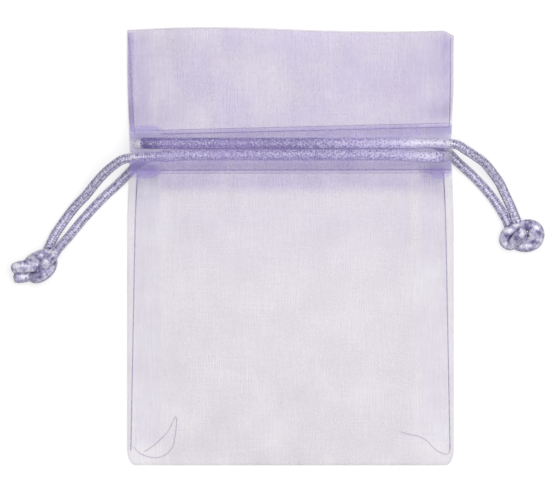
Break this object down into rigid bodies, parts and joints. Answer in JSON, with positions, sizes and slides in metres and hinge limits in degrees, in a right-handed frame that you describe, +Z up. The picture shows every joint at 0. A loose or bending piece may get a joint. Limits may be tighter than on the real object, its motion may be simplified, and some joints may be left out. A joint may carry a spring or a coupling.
{
  "type": "drawstring pouch",
  "caption": "Small sheer organza drawstring pouch lying flat, folded at the bottom, sewn up the sides, with a ruffled mouth and a stitched casing that holds knotted satin cords.",
  "frame": {"origin": "under the middle of the pouch, on the surface that its back lies on", "axes": "+X to the right and +Y towards the mouth as the picture shows it, +Z up out of the front"},
  "size_m": [0.1245, 0.1016, 0.0118],
  "materials": {
    "organza": "sheer crisp weave with a faint shimmer",
    "satin_cord": "shiny braided satin",
    "sewing_thread": "matt spun thread"
  },
  "bodies": {
    "pouch": {"front_panel": "organza", "back_panel": "organza", "front_facing": "organza", "back_facing": "organza", "left_side_allowance": "organza", "left_ruffle_allowance": "organza", "right_side_allowance": "organza", "right_ruffle_allowance": "organza", "left_side_thread": "sewing_thread", "left_ruffle_thread": "sewing_thread", "right_side_thread": "sewing_thread", "right_ruffle_thread": "sewing_thread", "front_casing_lower_thread": "sewing_thread", "front_casing_upper_thread": "sewing_thread", "back_casing_lower_thread": "sewing_thread", "back_casing_upper_thread": "sewing_thread", "left_thread_tail": "sewing_thread", "right_thread_tail": "sewing_thread"},
    "left_drawstring": {"left_casing_cord": "satin_cord", "left_front_strand": "satin_cord", "left_back_strand": "satin_cord", "left_knot": "satin_cord"},
    "right_drawstring": {"right_casing_cord": "satin_cord", "right_front_strand": "satin_cord", "right_back_strand": "satin_cord", "right_knot": "satin_cord"}
  },
  "joints": [
    {"name": "left_drawstring_pull", "type": "slide", "parent": "pouch", "child": "left_drawstring", "axis": [-1, 0, 0], "range_m": [0, 0.03], "deforming": ["front_facing", "back_facing"]},
    {"name": "right_drawstring_pull", "type": "slide", "parent": "pouch", "child": "right_drawstring", "axis": [1, 0, 0], "range_m": [0, 0.03], "deforming": ["front_facing", "back_facing"]}
  ]
}
